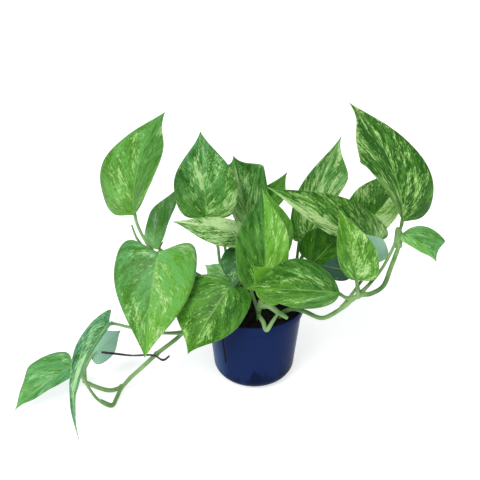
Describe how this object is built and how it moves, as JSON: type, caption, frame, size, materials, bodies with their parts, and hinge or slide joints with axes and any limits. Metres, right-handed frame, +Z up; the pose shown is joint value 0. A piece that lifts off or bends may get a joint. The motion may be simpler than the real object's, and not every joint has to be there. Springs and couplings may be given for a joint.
{
  "type": "potted pothos plant",
  "caption": "Pothos plant with marbled heart-shaped leaves on long arching vines, in a round glossy dark blue plastic pot; some vines climb and one trails on the table.",
  "frame": {"origin": "middle of the pot's flat foot, on the surface that it stands on", "axes": "+Z up, +X to the right in the front view, -Y towards the viewer"},
  "size_m": [0.4291, 0.2275, 0.3092],
  "materials": {
    "pot": "glossy dark blue plastic",
    "soil": "dark crumbly potting mix",
    "stem": "smooth pale green plant stem",
    "leaf": "waxy green leaf, marbled with cream",
    "root": "dry brown root"
  },
  "bodies": {
    "root": {"pot": "pot", "soil": "soil", "stem_left_trail": "stem", "stem_left_tall": "stem", "stem_middle_left": "stem", "stem_middle_front": "stem", "stem_right_back": "stem", "stem_right_reach": "stem", "leaf_left_top": "leaf", "leaf_left_behind": "leaf", "leaf_left_hanging": "leaf", "leaf_trail_end": "leaf", "leaf_trail_droop": "leaf", "leaf_trail_under": "leaf", "leaf_back_left": "leaf", "leaf_middle_pale": "leaf", "leaf_back_middle": "leaf", "leaf_back_small": "leaf", "leaf_middle_tall": "leaf", "leaf_middle_dark": "leaf", "leaf_middle_young": "leaf", "leaf_middle_shaded": "leaf", "leaf_front_right": "leaf", "leaf_front_left": "leaf", "leaf_front_small": "leaf", "leaf_right_upright": "leaf", "leaf_right_long": "leaf", "leaf_right_front": "leaf", "leaf_right_under": "leaf", "leaf_right_low": "leaf", "leaf_right_shaded": "leaf", "leaf_right_back": "leaf", "leaf_right_top": "leaf", "leaf_right_tip": "leaf", "leaf_rear_left": "leaf", "leaf_rear_middle": "leaf", "leaf_rear_right": "leaf", "aerial_root": "root"}
  },
  "joints": []
}
